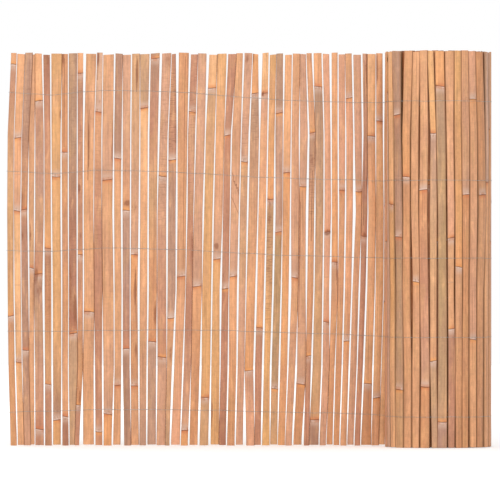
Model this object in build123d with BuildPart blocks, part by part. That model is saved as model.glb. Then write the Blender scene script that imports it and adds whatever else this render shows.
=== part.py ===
# Split bamboo screen fence, one metre high, partly unrolled.
# Flat slats stand side by side, held between the two legs of five binding wires, and the rest of
# the mat stands rolled up at the right-hand end, in front of the line of the slats.
# X runs along the mat, the front looks along -Y, Z is up, and the slats stand on Z = 0.
import math
import os
from dataclasses import dataclass

from build123d import *

os.makedirs("parts", exist_ok=True)

# Slats
mat_height = 1000.0
slat_thickness = 5.0
crown_drop = 1.2
crown_share = 0.30
split_edge = 1.2
least_gap = 0.5
least_width = 4.0
knot_rise = 0.8
knot_half_height = 3.0
waist_height = 0.4 * mat_height
chest_height = 0.795 * mat_height

# Slat ends are cut uneven, and these trims repeat along the mat
foot_trims = (0.0, 1.5, 0.5, 2.5, 1.0, 0.0, 2.0)
head_trims = (1.0, 3.0, 0.0, 4.5, 2.0, 5.5, 2.5, 3.5, 1.5)

# Binding wires
wire_diameter = 1.0
wire_clearance = 0.1
wire_tail = 30.0
left_wrap = 150.0

# Rolled end of the mat
roll_radius = 135.0
turn_pitch = 11.0
half_turns = 8
straight_run = 109.0
run_gap = 2.8
groove_half_width = 2.0
groove_land = 1.6

# Slat pitches of the mat past the last flat slat: behind the roll, once round it, then inwards
run_pitches = (22.0, 24.0, 21.0, 20.0, 22.0)
outer_pitches = (22.0, 20.0, 24.0, 21.0, 23.5, 25.0, 22.0, 21.0, 23.0, 24.0, 21.0, 21.5,
                 16.0, 30.5, 25.5, 22.5, 19.0, 20.5, 24.5, 20.5, 24.5, 23.5, 26.0, 27.0,
                 22.0, 27.0, 25.0, 22.0, 21.0, 23.0, 20.0, 22.0, 24.0, 21.0, 23.0)
inner_pitches = (21.0, 24.0, 19.5, 22.5, 25.0, 20.5, 23.0)

# Heights of the knots of each slat of the outer turn, as shares of the mat's height
outer_knots = (
    (0.314,), (0.121, 0.702), (0.468,), (0.236, 0.861), (0.583,), (0.092, 0.655),
    (0.377,), (0.184, 0.742), (0.529,), (0.268, 0.918), (0.443,), (0.139, 0.801),
    (0.663, 0.776), (0.636,), (0.272, 0.876), (0.636,), (0.455,), (0.300, 0.528),
    (0.066, 0.909), (0.219, 0.791), (0.154, 0.648), (0.417,), (0.681,),
    (0.146, 0.530, 0.837), (0.613,), (0.288, 0.888), (0.503,), (0.207, 0.726),
    (0.391,), (0.118, 0.834), (0.562,), (0.251, 0.689), (0.456,), (0.167, 0.769), (0.342,),
)
knot_root = 0.5


@dataclass
class Slat:
    """One slat of the flat mat: the gap before its face and the width of its face at waist
    height, how far its foot, chest and head stand to the right of its waist, and the heights of
    its knots as shares of the mat's height. Its split edges stand out past its face."""

    gap: float
    width: float
    foot: float
    chest: float
    head: float
    knots: tuple
    foot_width: float = 0.0
    head_width: float = 0.0


slats = (
    Slat(0.0, 13.5, 8.0, 0.0, 8.0, (0.330, 0.970)),
    Slat(4.0, 14.5, 8.5, 0.5, 9.0, (0.212, 0.597, 0.783)),
    Slat(3.5, 15.5, 6.0, 1.5, 11.0, (0.243, 0.601)),
    Slat(5.0, 9.5, 2.5, 0.0, 5.5, (0.452,), head_width=5.0),
    Slat(2.0, 19.5, 3.5, 3.5, 0.0, (0.042, 0.436, 0.877), head_width=16.5),
    Slat(7.5, 15.5, 1.5, -1.5, -3.5, (0.156, 0.502)),
    Slat(5.5, 19.0, 0.0, -2.0, -0.5, (0.065, 0.684), foot_width=17.5, head_width=25.0),
    Slat(5.0, 13.5, 0.5, -1.5, -1.0, (0.074, 0.747)),
    Slat(3.5, 18.0, -2.0, 0.0, 0.5, (0.285,), foot_width=11.0),
    Slat(4.5, 11.5, -8.5, 0.0, 0.0, (0.104, 0.485, 0.948)),
    Slat(5.0, 24.5, -2.0, -1.0, 4.5, (0.340,)),
    Slat(1.0, 19.0, 1.5, -1.0, 4.0, (0.035, 0.849), foot_width=16.0, head_width=12.5),
    Slat(2.0, 26.0, -1.5, -0.5, 1.5, (0.080, 0.676), foot_width=18.5),
    Slat(4.5, 16.0, -3.0, -0.5, 3.0, (0.154, 0.730)),
    Slat(5.0, 16.0, 3.0, 0.5, 1.5, (0.246, 0.598)),
    Slat(4.0, 16.0, 2.5, 3.5, 5.0, (0.151, 0.485)),
    Slat(7.5, 17.0, -2.0, 1.5, 3.5, (0.859,), foot_width=15.0, head_width=22.0),
    Slat(6.0, 18.5, -3.0, 2.0, 6.0, (0.264, 0.985)),
    Slat(2.5, 21.5, -2.0, 5.0, 12.5, (0.225, 0.685)),
    Slat(5.0, 18.5, -10.5, 2.5, 6.0, (0.324, 0.727), foot_width=9.5, head_width=9.0),
    Slat(4.5, 20.5, -14.0, 3.5, 7.0, (0.430,), head_width=23.5),
    Slat(3.0, 15.5, -12.5, 6.0, 13.0, (0.038, 0.849)),
    Slat(1.0, 22.5, -9.0, 9.0, 13.5, (0.405,), foot_width=18.5, head_width=19.5),
    Slat(2.5, 21.5, -7.0, 9.0, 17.0, (0.123, 0.910), head_width=18.5),
    Slat(5.0, 16.0, -3.5, 10.0, 15.0, (0.474,), foot_width=19.0, head_width=21.5),
    Slat(7.5, 15.5, -7.0, 6.5, 18.0, (0.399, 0.789), head_width=19.5),
    Slat(3.5, 18.0, -5.5, 9.0, 16.5, (0.430,), head_width=15.5),
    Slat(7.0, 15.5, -7.0, 7.5, 16.0, (0.722,)),
    Slat(4.0, 20.5, -1.5, 9.5, 12.0, (0.191, 0.896), head_width=12.0),
    Slat(6.5, 15.5, -7.0, 8.0, 13.0, (0.300, 0.896), head_width=13.5),
    Slat(6.0, 15.0, -8.0, 6.5, 10.5, (0.627,)),
    Slat(6.0, 15.5, -9.0, 4.5, 6.5, (0.144, 0.543, 0.846)),
    Slat(5.0, 15.5, -10.0, 5.0, 8.0, (0.694,)),
    Slat(8.5, 16.0, -16.0, 1.0, 4.5, (0.427,)),
    Slat(1.0, 18.0, -10.5, 5.5, 3.0, (0.156, 0.659), head_width=13.5),
    Slat(5.5, 14.0, -9.5, 5.5, -3.0, (0.228, 0.796), head_width=11.5),
    Slat(4.5, 18.0, -12.0, 2.5, -2.0, (0.066, 0.913), foot_width=23.0),
    Slat(5.0, 12.0, -9.5, 3.0, -1.0, (0.314, 0.543)),
    Slat(7.5, 15.0, -13.0, 0.0, 0.0, (0.466,)),
    Slat(2.0, 12.5, -11.0, 3.5, 2.5, (0.649,)),
    Slat(5.5, 14.5, -12.0, 4.5, 1.0, (0.265, 0.884)),
    Slat(5.0, 13.5, -13.0, 6.5, 4.0, (0.646,)),
    Slat(6.0, 12.0, -14.0, 7.0, 5.0, (0.533,)),
    Slat(6.0, 17.5, -12.5, 0.5, 1.0, (0.157, 0.787), foot_width=23.5),
    Slat(4.0, 16.0, -13.5, 1.0, 1.0, (0.121, 0.825)),
    Slat(2.0, 18.5, -15.5, 1.0, 1.0, (0.366, 0.610)),
)

# Places along the mat, from its left-hand end, where the height of a wire is given, and the
# heights of the wires there as shares of the mat's height
wire_stations = (0.0, 113.0, 243.0, 426.0, 553.0, 681.0, 823.0, 960.0)
wire_rows = (
    (0.085, 0.088, 0.092, 0.091, 0.089, 0.085, 0.083, 0.078),
    (0.291, 0.291, 0.293, 0.294, 0.293, 0.288, 0.284, 0.278),
    (0.496, 0.494, 0.503, 0.499, 0.492, 0.485, 0.481, 0.477),
    (0.698, 0.692, 0.701, 0.696, 0.688, 0.681, 0.677, 0.673),
    (0.898, 0.892, 0.904, 0.900, 0.890, 0.880, 0.874, 0.872),
)

# Levels at which the slats are placed
levels = (0.0, waist_height, chest_height, mat_height)


def level_widths(slat):
    """Width of a slat at each level."""
    foot_width = slat.foot_width or slat.width
    head_width = slat.head_width or slat.width
    return (foot_width, slat.width, slat.width, head_width)


def place_slats():
    """Left and right edge of each slat at each level. Its split edges stand out past its face on
    both sides, and the left one stops at the least gap from the slat before it."""
    placed = []
    waist_end = 0.0
    ends = [-math.inf] * len(levels)
    for slat in slats:
        middle = waist_end + slat.gap + slat.width / 2
        waist_end = middle + slat.width / 2
        shifts = (slat.foot, 0.0, slat.chest, slat.head)
        edges = []
        for i, (shift, width) in enumerate(zip(shifts, level_widths(slat))):
            half = width / 2 + split_edge
            left = max(middle + shift - half, ends[i] + least_gap)
            ends[i] = max(middle + shift + half, left + least_width)
            edges.append((left, ends[i]))
        placed.append(edges)
    return placed


placed_slats = place_slats()


def between_levels(values, height):
    """Value at a height, in a straight line between the levels."""
    for i in range(len(levels) - 1):
        if height <= levels[i + 1] or i == len(levels) - 2:
            share = (height - levels[i]) / (levels[i + 1] - levels[i])
            return values[i] + share * (values[i + 1] - values[i])


def edge_at(number, side, height):
    """Place along the mat of a slat's left (0) or right (1) edge at a height."""
    return between_levels([edges[side] for edges in placed_slats[number]], height)


# Reaches of the whole fence, which put its origin at the middle of its foot. The roll's middle
# is at Y = 0, and the flat mat stands one roll radius behind it.
wire_reach = slat_thickness / 2 + wire_clearance + wire_diameter
run_start = max(edges[1] for edges in placed_slats[-1]) + run_gap
roll_middle = run_start + straight_run
right_reach = roll_middle + roll_radius + wire_reach
left_reach = min(edge_at(0, 0, row[0] * mat_height) for row in wire_rows) - wire_reach
origin_shift = -(left_reach + right_reach) / 2
mat_plane = roll_radius


def slat_section(height, left, right, rise):
    """Outline of a slat at a height: flat back, crowned front and upright sides, with both
    faces lifted by the rise of a knot."""
    half = (right - left) / 2
    middle = (left + right) / 2
    back = slat_thickness / 2 + rise
    front = -slat_thickness / 2 - rise
    with BuildSketch(Plane((origin_shift + middle, mat_plane, height))) as section:
        with BuildLine():
            Polyline(
                (-half, back),
                (-half, crown_drop - slat_thickness / 2),
                (-half * 2 * crown_share, front),
                (half * 2 * crown_share, front),
                (half, crown_drop - slat_thickness / 2),
                (half, back),
                close=True,
            )
        make_face()
    return section.sketch


def make_slat(number):
    """A slat lofted through its levels and its knots."""
    slat = slats[number]
    foot = foot_trims[number % len(foot_trims)]
    head = mat_height - head_trims[number % len(head_trims)]
    rises = {foot: 0.0, waist_height: 0.0, chest_height: 0.0, head: 0.0}
    for knot_share in slat.knots:
        knot = knot_share * mat_height
        rises[knot - knot_half_height] = 0.0
        rises[knot] = knot_rise
        rises[knot + knot_half_height] = 0.0
    sections = []
    for height in sorted(rises):
        left = edge_at(number, 0, height)
        right = edge_at(number, 1, height)
        sections.append(slat_section(height, left, right, rises[height]))
    with BuildPart() as body:
        loft(sections, ruled=True)
    body.part.label = f"slat_{number + 1:02d}"
    return body.part


def arc_radius(half_turn):
    """Radius of the mat's middle line in a half turn of the roll."""
    return roll_radius - half_turn * turn_pitch / 2


def mat_line(distance):
    """Point on the middle line of the rolled mat and its outward direction, by the distance
    along the mat from the start of the straight run. Each half turn is a half circle, smaller
    than the one before by half a turn pitch, and the two meet in a tangent."""
    if distance <= straight_run:
        return Vector(run_start + distance, 0), Vector(0, 1)
    rest = distance - straight_run
    half_turn = 0
    while rest > math.pi * arc_radius(half_turn) and half_turn < half_turns - 1:
        rest -= math.pi * arc_radius(half_turn)
        half_turn += 1
    radius = arc_radius(half_turn)
    middle_y = -roll_radius - (half_turn % 2) * turn_pitch / 2
    turned = math.pi / 2 - half_turn * math.pi - rest / radius
    outward = Vector(math.cos(turned), math.sin(turned))
    return Vector(roll_middle, middle_y) + outward * radius, outward


def mat_joints():
    """Distances along the rolled mat where one slat meets the next."""
    length = straight_run + math.pi * sum(arc_radius(k) for k in range(half_turns))
    pitches = run_pitches + outer_pitches
    joints = [0.0]
    number = 0
    while True:
        if number < len(pitches):
            pitch = pitches[number]
        else:
            pitch = inner_pitches[(number - len(pitches)) % len(inner_pitches)]
        if joints[-1] + pitch > length:
            return joints
        joints.append(joints[-1] + pitch)
        number += 1


def rolled_outline():
    """Corners of the rolled mat seen from above: slats as straight chords, edge to edge, with
    a groove between neighbours on both faces."""
    outer = []
    inner = []
    joints = mat_joints()
    places = [mat_line(distance) for distance in joints]
    half = slat_thickness / 2
    for (start, start_out), (end, _) in zip(places, places[1:]):
        along = (end - start).normalized()
        outward = Vector(-along.Y, along.X)
        near = start + along * groove_half_width
        far = end - along * groove_half_width
        if start is not places[0][0]:
            outer.append(start + start_out * groove_land / 2)
            inner.append(start - start_out * groove_land / 2)
        outer += [near + outward * half, far + outward * half]
        inner += [near - outward * half, far - outward * half]
    return outer + inner[::-1]


def knot_profile(point, outward, along):
    """Section of a knot across a slat of the roll: a low ridge that is rooted in the slat."""
    place = Plane(tuple(point), x_dir=tuple(outward), z_dir=tuple(along))
    with BuildSketch(place) as section:
        with BuildLine():
            Polyline(
                (-knot_root, -knot_half_height),
                (0, -knot_half_height),
                (knot_rise, 0),
                (0, knot_half_height),
                (-knot_root, knot_half_height),
                close=True,
            )
        make_face()
    return section.sketch


def make_rolled_mat():
    """The rest of the mat: the run behind the roll and the turns of the roll."""
    shift = Vector(origin_shift, mat_plane)
    joints = mat_joints()[len(run_pitches):]
    ridges = []
    with BuildPart() as body:
        with BuildSketch():
            with BuildLine():
                Polyline(*[point + shift for point in rolled_outline()], close=True)
            make_face()
        extrude(amount=mat_height)
        for start_distance, end_distance, knots in zip(joints, joints[1:], outer_knots):
            start, end = mat_line(start_distance)[0], mat_line(end_distance)[0]
            along = (end - start).normalized()
            outward = Vector(-along.Y, along.X)
            near = start + along * groove_half_width + outward * slat_thickness / 2 + shift
            for knot_share in knots:
                point = near + Vector(0, 0, knot_share * mat_height)
                width = (end - start).length - 2 * groove_half_width
                profile = knot_profile(point, outward, along)
                ridges.append(extrude(profile, amount=width, mode=Mode.PRIVATE))
        add(ridges)
    body.part.label = "rolled_mat"
    return body.part


def wire_profile(x, y, z):
    """Section of a wire that runs along X, with six flats."""
    with BuildSketch(Plane((x, y, z), x_dir=(0, 1, 0), z_dir=(1, 0, 0))) as section:
        RegularPolygon(wire_diameter / 2, 6)
    return section.sketch


def make_wire(row):
    """A binding wire, bent round the first slat: one leg runs in front of the slats and ends
    behind the roll, the other runs behind them and on round the outer turn of the roll."""
    offset = slat_thickness / 2 + wire_clearance + wire_diameter / 2
    heights = [height_share * mat_height for height_share in row]
    places = (edge_at(0, 0, heights[0]),) + wire_stations[1:]
    turn = [(origin_shift + place, height) for place, height in zip(places, heights)]
    level = heights[-1]
    middle_x = origin_shift + roll_middle
    front_end = (origin_shift + run_start + wire_tail, level)
    front_y = mat_plane - 2 * roll_radius - offset
    left_middle_y = front_y + arc_radius(1) + offset
    with BuildPart() as body:
        front = [wire_profile(x, mat_plane - offset, z) for x, z in turn + [front_end]]
        loft(front, ruled=True)
        back = [wire_profile(x, mat_plane + offset, z) for x, z in turn + [(middle_x, level)]]
        loft(back, ruled=True)
        bend = Axis((turn[0][0], mat_plane, 0), (0, 0, -1))
        revolve(front[0], axis=bend, revolution_arc=180)
        right_turn = Axis((middle_x, mat_plane - roll_radius, 0), (0, 0, -1))
        revolve(back[-1], axis=right_turn, revolution_arc=180)
        left_turn = Axis((middle_x, left_middle_y, 0), (0, 0, -1))
        revolve(wire_profile(middle_x, front_y, level), axis=left_turn, revolution_arc=left_wrap)
    return body.part


for number in range(len(slats)):
    slat_part = make_slat(number)
    export_step(slat_part, f"parts/{slat_part.label}.step")

rolled_mat = make_rolled_mat()
export_step(rolled_mat, "parts/rolled_mat.step")
print("rolled mat volume", rolled_mat.volume, "slats in it", len(mat_joints()) - 1)

for number, row in enumerate(wire_rows):
    wire = make_wire(row)
    wire.label = f"binding_wire_{number + 1}"
    export_step(wire, f"parts/{wire.label}.step")
    print(wire.label, wire.volume, wire.is_valid)
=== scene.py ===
import bpy
import numpy as np
from bpy.props import FloatProperty, FloatVectorProperty, IntProperty, PointerProperty
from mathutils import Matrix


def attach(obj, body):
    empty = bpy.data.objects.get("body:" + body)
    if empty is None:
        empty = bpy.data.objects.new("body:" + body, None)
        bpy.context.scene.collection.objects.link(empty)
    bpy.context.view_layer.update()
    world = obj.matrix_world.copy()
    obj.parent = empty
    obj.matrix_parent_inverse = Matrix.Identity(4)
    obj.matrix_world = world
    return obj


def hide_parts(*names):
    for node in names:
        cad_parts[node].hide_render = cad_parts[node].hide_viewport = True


bl_info = {
    "name": "Split Bamboo Screen Fence",
    "version": (1, 0, 0),
    "blender": (4, 5, 0),
    "location": "3D View > Sidebar > Bamboo Fence",
    "description": "Slats, rolled mat, binding wires and studio of a split bamboo screen fence",
    "category": "Object",
}

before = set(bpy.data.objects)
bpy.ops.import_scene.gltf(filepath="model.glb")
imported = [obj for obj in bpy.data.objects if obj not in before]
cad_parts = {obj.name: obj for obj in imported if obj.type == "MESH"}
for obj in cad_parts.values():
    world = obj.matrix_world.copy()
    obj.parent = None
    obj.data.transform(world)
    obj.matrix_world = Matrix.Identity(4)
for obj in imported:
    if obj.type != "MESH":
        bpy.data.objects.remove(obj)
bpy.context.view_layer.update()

MM = 0.001

# The mat's middle plane, the thickness of a slat, how far its split edges stand out past its
# skin in the flat part and in the roll, and the gap that is left between slats that would meet
MAT_Y = 0.135
THICKNESS = 0.005
SPLIT_EDGE = 1.15 * MM
ROLL_EDGE = 0.8 * MM
TOUCH_GAP = 0.06 * MM

# Detail of the slats of the flat part, the outer turn and the inner turns: the step between
# rows, and the points of a row on the skin and on the back. Extra rows about each knot and by
# each end, in millimetres
FLAT_DETAIL = (10 * MM, 9, 5)
OUTER_DETAIL = (12 * MM, 8, 4)
INNER_DETAIL = (30 * MM, 5, 3)
KNOT_ROWS = (-14, -9, -6, -4.2, -3, -2.2, -1.5, -0.9, -0.4, 0, 0.4, 0.9, 1.6, 3, 5, 8, 12)
END_ROWS = (0.6, 1.5)

# Parts of a slat's section: skin, upper and lower corner of a split face, and back. The spread
# and half width of the points on the skin, and the half width of those on the back
SKIN, CORNER, HEEL, BACK = range(4)
SKIN_SPREAD = 0.94
SKIN_HALF = 0.965
BACK_HALF = 0.93

# The power by which the skin falls to its edges, how far a corner lies below it, a heel's place
# behind the middle in half thicknesses, how hollow the back is, and its share of a knot's swell
CROWN_POWER = 2.2
CORNER_DROP = 0.45 * MM
HEEL_DEPTH = 0.75
HOLLOW = 0.4 * MM
BACK_SHARE = 0.2

# A knot: middle and width of its ridge on the side with the bloom and its share of the swell,
# width and share of the bulge on its stained side, width of its scar line, how much wider it
# makes the slat, and the least by which its level stands proud on the solid's front
RIDGE_AT = -1.8 * MM
RIDGE_WIDTH = 2.4 * MM
RIDGE_SHARE = 0.75
BULGE_WIDTH = 9 * MM
BULGE_SHARE = 0.35
SCAR_WIDTH = 0.55 * MM
WIDENING = 0.35 * MM
PROUD = 0.6 * MM

# How far a knot lies askew at the slat's edges, how far up the slat that reaches, and the turn
# for each metre of height that makes each knot's slant its own
KNOT_SLANT = 1.7 * MM
KNOT_REACH = 15 * MM
KNOT_TURN = 997.0

# A slat's ends: greatest slant of the head and how far down it reaches, share of the section
# that the cut keeps inside its worn rim, and the height of that rim
HEAD_SLANT = 1.6 * MM
HEAD_REACH = 12 * MM
CUT_SHARE = 0.86
CUT_RIM = 0.3 * MM

# Waves of a wander: how many times shorter and lower each is than the one before, and what their
# sum is divided by. Shares of an edge's wander that are smooth and that jump at each knot; room
# beside a slat below which its edge wanders less, and below which it takes painted shade; and the
# room of an edge that has no neighbour
WAVE_SHRINK = 1.7
WAVE_FADE = 1.4
WAVE_SUM = 3.0
SMOOTH_SHARE = 0.6
JUMP_SHARE = 0.5
WAVER_ROOM = 2.5 * MM
SHADE_ROOM = 0.9 * MM
FREE_ROOM = 1.0

# Greatest slopes across a flat slat and across a slat of the roll, painted shade at the roll's
# edges, and the painted shade, a warm brown darkening, of its inner turns
FLAT_TILT = 0.035
ROLL_TILT = 0.03
ROLL_SHADE = 0.45
INNER_TURN_SHADE = (0.58, 0.42, 0.30)

# The distance that stands for no crack, how far cross lines fade over their ends, how far a
# mark's extra rows reach in half heights and how many they are, the range of the seeds that
# shift a slat's grain, and the angle past which an edge shows sharp
FAR_CRACK = 0.02
LINE_FADE = 12 * MM
MARK_REACH = 1.5
MARK_ROWS = 9
GRAIN_SEEDS = 90
SHARP_ANGLE = np.radians(38)

# The mat past the flat slats: a straight run, then half circles that get smaller inwards. The
# pitches of its slats are in millimetres
RUN_START = 0.36835
ROLL_MIDDLE = 0.47735
ROLL_RADIUS = 0.135
TURN_PITCH = 0.011
HALF_TURNS = 8
RUN_PITCHES = (22.0, 24.0, 21.0, 20.0, 22.0)
OUTER_PITCHES = (22.0, 20.0, 24.0, 21.0, 23.5, 25.0, 22.0, 21.0, 23.0, 24.0, 21.0, 21.5,
                 16.0, 30.5, 25.5, 22.5, 19.0, 20.5, 24.5, 20.5, 24.5, 23.5, 26.0, 27.0,
                 22.0, 27.0, 25.0, 22.0, 21.0, 23.0, 20.0, 22.0, 24.0, 21.0, 23.0)
INNER_PITCH = 21.0
BEFORE_INNER = len(RUN_PITCHES) + len(OUTER_PITCHES)

# Random ranges of the roll's slats, in millimetres: room left at each edge in the outer and in
# the inner turns, lean, of which the inner turns have a share, narrowing, height of the foot, and
# depth of the head below the top. What is added to the seed for these and for their surfaces
GAP_RANGE = (1.0, 2.2)
INNER_GAP_RANGE = (1.5, 3.0)
LEAN_RANGE = (-0.9, 0.9)
INNER_LEAN = 0.4
SHRINK_RANGE = (0.0, 1.5)
FOOT_RANGE = (0.0, 1.2)
HEAD_RANGE = (0.0, 4.0)
ROLL_DRAWS = 500
SURFACE_DRAWS = 900

# Binding wires: rows, sides of a wire's section, longest wave of the sag, middle of the solid's
# front leg and the room about it, clearance on a slat, and how far before slat 1 a wire starts
WIRE_ROWS = 5
WIRE_SIDES = 6
WIRE_WAVE = 0.16
LEG_Y = MAT_Y - 3.1 * MM
LEG_ROOM = 0.8 * MM
WIRE_CLEARANCE = 0.05 * MM
WIRE_LEAD = 2.4 * MM

# Where a wire lies on a slat, as shares of its width and of the full distance from the mat's
# middle; the shares of a gap in which a pair crosses; and the least gaps for one and three turns
ON_SLAT = ((0.02, 0.86), (0.25, 1.0), (0.5, 1.0), (0.75, 1.0), (0.98, 0.86))
TWIST_FROM = 0.12
TWIST_TO = 0.88
CROSSING_GAP = 2.2 * MM
TWISTED_GAP = 4.5 * MM

# The camera of the photograph: level, far off, in front of the middle of the fence. Its frame in
# pixels, the pixels for each metre at the mat, and how many roll radii before the mat the front
# of the roll is taken to lie
CAMERA_X = 0.0046
CAMERA_Y = -19.865
CAMERA_Z = 0.4975
SENSOR = 36.0
LENS = 565.9
CLIP_RANGE = (0.1, 100.0)
FRAME_PIXELS = 500.0
MAT_SCALE = 393.0
ROLL_FRONT = 1.7

# Places of the soft lamps by the setting of their power, their size, and the height they look
# at; the floor's half width, level and cells; and its glow: strength at the middle, what is added
# far off, and the radii between which that is added
LAMPS = {"key": (-1.6, -4.9, 2.6), "fill": (0.9, -5.0, 2.0), "back": (-1.6, 4.4, 2.8)}
LAMP_SIZE = 2.6
LAMP_AIM = 0.5
FLOOR_HALF = 14.0
FLOOR_Z = -0.2 * MM
FLOOR_CELLS = 8
GLOW = 0.31
GLOW_RISE = 0.25
GLOW_RADII = (1.2, 6.0)
WHITE = (1.0, 1.0, 1.0, 1.0)

# Tones of the bamboo's skin, by a letter
TONES = {
    "h": ("Light honey orange", (234, 171, 125)),
    "p": ("Brightest pale orange", (242, 184, 134)),
    "k": ("Pale orange with a rose cast", (228, 167, 132)),
    "l": ("Pale rose with bloom", (216, 171, 146)),
    "r": ("Even rose tan", (212, 159, 128)),
    "c": ("Greyed rose", (193, 149, 124)),
    "m": ("Greyed mauve", (184, 140, 120)),
    "b": ("Brown with a red cast", (195, 137, 108)),
    "d": ("Darkest red brown", (175, 118, 92)),
    "n": ("Brown with an orange cast", (211, 149, 106)),
    "a": ("Tan with an orange cast", (220, 161, 119)),
    "u": ("Full orange", (229, 163, 111)),
    "s": ("Straw orange", (224, 167, 113)),
    "g": ("Golden straw", (225, 171, 111)),
    "t": ("Tan with an ochre cast", (210, 161, 118)),
    "v": ("Light olive tan", (197, 154, 119)),
    "e": ("Olive with a brown cast", (184, 146, 106)),
    "o": ("Greyed olive", (182, 142, 114)),
    "q": ("Greyed brown", (180, 135, 110)),
}

# Colours that lie over the tones. One is a painted highlight on the ridge of a knot, and one is
# painted shade in the seams between slats that touch and at the roll's edges
COATS = {
    "cloud": (192, 140, 114), "ochre": (216, 166, 112), "pale_patch": (240, 182, 132),
    "dark_band": (156, 102, 72), "stain": (206, 122, 80), "light_stain": (238, 164, 98),
    "bloom": (222, 188, 168), "far_bloom": (178, 138, 114), "shine": (232, 204, 188),
    "dirt": (150, 104, 78), "knot_band": (198, 126, 84), "scar": (112, 62, 40),
    "speck": (140, 80, 52), "cross_line": (122, 76, 54), "brown_mark": (134, 76, 48),
    "crack": (122, 68, 42), "rim": (168, 112, 78), "wood_knot": (158, 112, 74),
    "touching_edge": (104, 58, 36),
}
PITH = (214, 172, 128)

# Patterns of the bamboo: shift of the seed, cells a metre across and up the slats, detail and
# roughness
GRAINS = {
    "streak": (0.0, 330.0, 5.0, 3.0, 0.6),
    "band": (2.7, 230.0, 3.0, 2.0, 0.5),
    "fibre": (0.0, 1500.0, 22.0, 2.0, 0.6),
    "blotch": (7.3, 70.0, 17.0, 3.0, 0.55),
    "mottle": (9.1, 190.0, 75.0, 3.0, 0.6),
    "cloud": (3.1, 25.0, 6.0, 2.0, 0.5),
    "ochre": (6.2, 45.0, 11.0, 2.0, 0.5),
    "cross": (11.7, 40.0, 420.0, 2.0, 0.6),
    "speck": (5.9, 520.0, 300.0, 1.0, 0.5),
}

# How far each pattern lightens and darkens the skin
LIGHTENING = {"streak": 0.66, "fibre": 0.22, "blotch": 0.50, "mottle": 0.45, "cross": 0.20}

# Each flat slat from the left: the tones of its internodes from foot to head, an upright bar at
# each knot, and which side of a knot has the bloom: below it (-1) or above it (1)
FLAT_LOOKS = (
    ("n|stb|a", -1), ("ap|p|kh|h", 1), ("rq|qqb|nqc", -1), ("a|taa", -1), ("b|brcq|bcb|h", -1),
    ("b|tnd|unbd", -1), ("s|qsss|s", 1), ("d|ann|nn", -1), ("v|ddoo", -1), ("b|nb|bbb|h", -1),
    ("a|aha", -1), ("b|bbba|l", 1), ("u|raa|ra", 1), ("a|aa|q", 1), ("q|bmc|nrr", -1),
    ("a|nu|rt", 1), ("cahp|v", 1), ("c|nntbq|o", -1), ("r|br|r", -1), ("va|cq|b", 1),
    ("ka|an", 1), ("u|rbbr|b", 1), ("nnh|rr", 1), ("t|sst|p", -1), ("ss|rhs", 1),
    ("dbd|bb|b", 1), ("nh|ra", 1), ("rrt|r", 1), ("k|uao|u", -1), ("b|hhk|p", -1),
    ("gse|us", -1), ("t|ee|c|o", 1), ("uu|h", 1), ("ra|ra", 1), ("n|ra|r", 1),
    ("b|naq|a", -1), ("q|ttvo|h", -1), ("rk|k|k", -1), ("na|uh", -1), ("na|k", 1),
    # Slats 44 to 46 beside the roll have lighter tones than their own, painted light that makes up
    # for the roll's shade
    ("ah|hk|a", 1), ("ra|r", 1), ("bb|br", -1), ("n|ph|p", -1), ("h|pp|h", 1), ("p|p|p", 1),
)

# Pixel rows of the photograph, from head to foot, at which the slats' edges are given below
SEEN_ROWS = (57.0, 134.0, 212.0, 290.0, 368.0, 440.0)

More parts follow.
